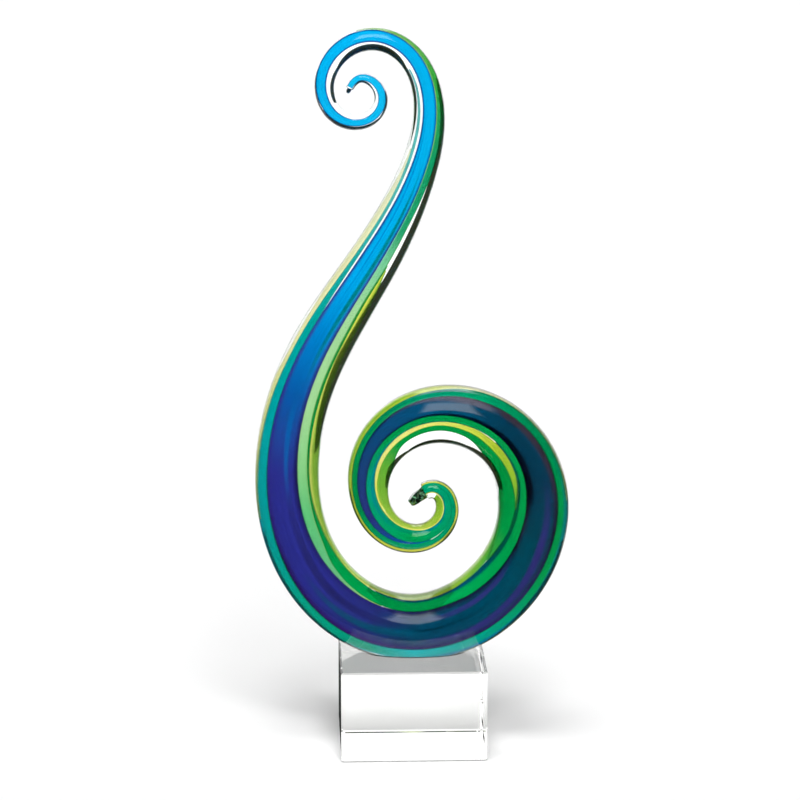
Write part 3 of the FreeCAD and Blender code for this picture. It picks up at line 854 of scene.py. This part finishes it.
# Lemon bar
# Yellow-green, then clear yellow, between the two greens of the coil.
lemon_shares = (
    (0.3125, -0.502, -0.486),
    (0.375, -0.52, -0.362),
    (0.4375, -0.55, -0.338),
    (0.5, -0.46, -0.297),
    (0.5625, -0.38, -0.267),
    (0.625, -0.42, -0.257),
    (0.6875, -0.415, -0.262),
    (0.72, -0.418, -0.3),
    (0.75, -0.448, -0.362),
    (0.8125, -0.59, -0.532),
    (0.85, -0.62, -0.563),
    (0.885, -0.53, -0.452),
    (0.9375, -0.36, -0.282),
    (0.998, -0.41, -0.312),
)
lemon_middle = (
    (0.325, 120, 195, 70), (0.36, 160, 206, 56), (0.44, 190, 218, 60), (0.5, 228, 238, 86),
    (0.56, 252, 248, 124), (0.62, 254, 252, 144), (0.68, 254, 252, 144), (0.73, 248, 244, 110),
    (0.8, 232, 238, 110), (0.86, 242, 242, 120), (0.9, 250, 246, 124), (0.94, 254, 252, 140),
    (0.985, 225, 220, 80),
)
lemon_inner = (
    (0.325, 120, 195, 70), (0.44, 150, 205, 56), (0.56, 215, 220, 70), (0.68, 240, 232, 110),
    (0.985, 190, 214, 70),
)
lemon_outer = (
    (0.325, 100, 190, 90), (0.44, 200, 214, 60), (0.56, 230, 224, 90), (0.68, 226, 224, 96),
    (0.985, 220, 220, 90),
)
add_bar("lemon_bar_glass", "lemon_bar", lemon_shares,
        bar_paint("lemon_glass", lemon_middle, lemon_inner, lemon_outer))


# Lime rim thread
# A cream and yellow-green thread along the coil's outer edge.
rim_shares = (
    (0.315, 0.93, 0.95),
    (0.375, 0.922, 0.965),
    (0.5, 0.9, 0.97),
    (0.5625, 0.822, 0.965),
    (0.625, 0.782, 0.95),
    (0.75, 0.787, 0.94),
    (0.8125, 0.782, 0.95),
    (0.885, 0.767, 0.945),
    (0.9375, 0.737, 0.93),
    (0.998, 0.662, 0.84),
)
rim_middle = (
    (0.315, 225, 228, 150), (0.4, 200, 215, 110), (0.5, 250, 248, 200), (0.55, 215, 225, 90),
    (0.6, 160, 205, 60), (0.7, 160, 205, 60), (0.8, 225, 228, 80), (0.9, 236, 234, 106),
    (0.98, 236, 234, 110),
)
rim_inner = (
    (0.315, 225, 228, 150), (0.5, 245, 245, 180), (0.6, 190, 215, 60), (0.8, 225, 220, 70),
    (0.98, 210, 216, 70),
)
rim_outer = (
    (0.315, 255, 250, 200), (0.5, 255, 255, 220), (0.6, 190, 216, 90), (0.75, 110, 170, 50),
    (0.82, 110, 170, 50), (0.98, 130, 185, 60),
)
add_bar("rim_bar_glass", "lime_rim_thread", rim_shares,
        bar_paint("rim_glass", rim_middle, rim_inner, rim_outer, rim_width=0.4))


# Glue film
# A thin coat of clear glue joins the ground foot to the block. It has nearly the glass's index, so the
# foot shows through it as a wet patch.
def dress(node, paint):
    """Gives a CAD piece its finish."""
    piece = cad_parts[node]
    piece.data.materials.clear()
    piece.data.materials.append(paint.material)


film_patch_scale = 260.0
film_paint = Paint("clear_glue")
film_tone = film_paint.step(film_paint.noise(film_paint.object_place(), film_patch_scale), 0.3, 0.7)
film_paint.set(Base_Color=film_paint.mix(film_tone, rgb(226, 228, 218), rgb(240, 242, 236)),
               Roughness=0.02, IOR=1.45, Transmission_Weight=1.0)
dress("glue_film", film_paint)


# Crystal block
# A square block of polished crystal with narrow bevels. It carries the sculpture and rests on its flat
# underside.
block_paint = Paint("crystal")
block_paint.set(Base_Color=(0.965, 0.968, 0.955, 1), Roughness=0.0, IOR=1.52, Transmission_Weight=1.0)
dress("crystal_block", block_paint)


# Floor
# A plain white table top. The block stands on it with a thin gap of air, so its underside mirrors the room.
# In reflections the table is white only in a wedge behind the block, and dark in front and at both sides.
# Seen through glass it also glows a little, most within 0.1 m of the block and fading out by 0.2 m: painted
# light in place of what the glass would let through onto it.
floor_gap = 0.0003
floor_corners = ((-4, -3), (4, -3), (4, 9), (-4, 9))
wedge_slope = 1.2
wedge_start, wedge_full = 0.05, 0.3
near_radius, far_radius = 0.1, 0.2
far_glow, near_glow = 0.15, 0.22


def flat_sheet(name, corners, paint):
    """A flat polygon through its corners."""
    mesh = bpy.data.meshes.new(name)
    mesh.from_pydata(corners, [], [range(len(corners))])
    mesh.materials.append(paint.material)
    sheet = bpy.data.objects.new(name, mesh)
    bpy.context.scene.collection.objects.link(sheet)
    return sheet


def light_rays(paint):
    """Whether a ray comes from the camera, through glass or off a mirror. A ray that glass bends counts as
    glossy too, so the mirrored ones are the glossy ones times (1 - through)."""
    rays = paint.tree.nodes.new("ShaderNodeLightPath")
    seen, through, glossy = (Wire(paint, rays.outputs[kind])
                             for kind in ("Is Camera Ray", "Is Transmission Ray", "Is Glossy Ray"))
    return seen, through, glossy * (1.0 - through)


floor_paint = Paint("white_table")
_, through, mirrored = light_rays(floor_paint)
east, north = floor_paint.split(floor_paint.object_place(), 2)
sideways = (east * east) ** 0.5
dark = floor_paint.step(north - sideways * wedge_slope, wedge_start, wedge_full, 1.0, 0.0) * mirrored
# Painted light: seen through glass the table glows, strongest within 0.1 m of the block's middle.
near = floor_paint.step(east * east + north * north, near_radius ** 2, far_radius ** 2, 1.0, 0.0)
floor_paint.set(Base_Color=floor_paint.mix(dark, (0.9, 0.9, 0.9, 1), (0.03, 0.03, 0.03, 1)),
                Roughness=0.9, Specular_IOR_Level=0.0, Emission_Color=(1, 1, 1, 1),
                Emission_Strength=through * (far_glow + near * near_glow))
flat_sheet("floor", [(x, y, -floor_gap) for x, y in floor_corners], floor_paint)


# Studio
# A room that is white to the eye. In reflections it is white only behind the sculpture and dark elsewhere,
# but for a soft box high up that gives the grey sheen on the rod's level stretches. Light that glass has
# bent sees it a little brighter.
world = bpy.data.worlds.new("studio")
bpy.context.scene.world = world
room = Paint("studio", world, "Background")
box_strength = 3.0
through_strength = 1.3
fill_strength = 0.1
seen, through, mirrored = light_rays(room)
rightward, forward, upward = room.split(room.node("ShaderNodeTexCoord", {}, output=0))
front = room.step(forward, 0.7, 0.9, 1.0, 0.0) * mirrored
soft_box = (room.step(rightward, -0.32, -0.2) * room.step(rightward, 0.2, 0.32, 1.0, 0.0)
            * room.step(upward, 0.4, 0.5) * room.step(upward, 0.78, 0.94, 1.0, 0.0) * front)
glassy = through + mirrored
tone = room.mix(front, (1, 1, 1, 1), rgb(12, 14, 16))
tone = room.mix(glassy, (1, 1, 1, 1), tone)
fill = (1.0 - seen) * (1.0 - glassy) * fill_strength
room.set(Color=room.mix(soft_box, tone, (1, 1, 1, 1)),
         Strength=seen + mirrored + through * through_strength + soft_box * (box_strength - 1.0) + fill)


# Dark cards
# Three dark cards behind the sculpture, above it and at both sides, that only refracted light sees. They
# give clear glass its black-green edges.
card_distance = 0.375
card_outlines = (
    ("upper_card", ((-0.9, 0.43), (0.9, 0.43), (0.9, 1.2), (-0.9, 1.2))),
    ("left_card", ((-0.9, 0.06), (-0.42, 0.06), (-0.22, 0.2), (-0.22, 0.43), (-0.9, 0.43))),
    ("right_card", ((0.45, 0.06), (0.9, 0.06), (0.9, 0.43), (0.24, 0.43))),
)
card_paint = Paint("black_card")
card_height = card_paint.split(card_paint.object_place())[2]
card_colour = card_paint.ramp(card_height, [(0.44, rgb(50, 54, 36)), (0.52, rgb(20, 24, 14))], 0, 1)
card_paint.set(Base_Color=(0, 0, 0, 1), Specular_IOR_Level=0.0, Emission_Strength=1.0,
               Emission_Color=card_colour)
for name, outline in card_outlines:
    card = flat_sheet(name, [(x, card_distance, z) for x, z in outline], card_paint)
    card.visible_camera = card.visible_diffuse = card.visible_glossy = card.visible_shadow = False


# Lamps
# Two large soft lamps, one high and one further to the front, that give the pale shadow its two lobes. The
# glass doesn't show them.
lamp_spread = 24
lamp_strength = 1.8
for name, direction in (("high_lamp", (0.08, 0.2, -1.0)), ("front_lamp", (-0.08, 0.7, -1.0))):
    lamp_data = bpy.data.lights.new(name, "SUN")
    lamp_data.angle = math.radians(lamp_spread)
    lamp_data.energy = lamp_strength
    lamp = bpy.data.objects.new(name, lamp_data)
    lamp.rotation_euler = Vector(direction).to_track_quat("-Z", "Y").to_euler()
    lamp.visible_glossy = False
    lamp.visible_transmission = False
    bpy.context.scene.collection.objects.link(lamp)


# Picture and bounces
# Plain display colours, and enough bounces for light to pass through every layer of glass.
bounce_limit = 32
bpy.context.scene.view_settings.view_transform = "Standard"
bpy.context.scene.cycles.max_bounces = bounce_limit
bpy.context.scene.cycles.transmission_bounces = bounce_limit
bpy.context.scene.cycles.transparent_max_bounces = bounce_limit
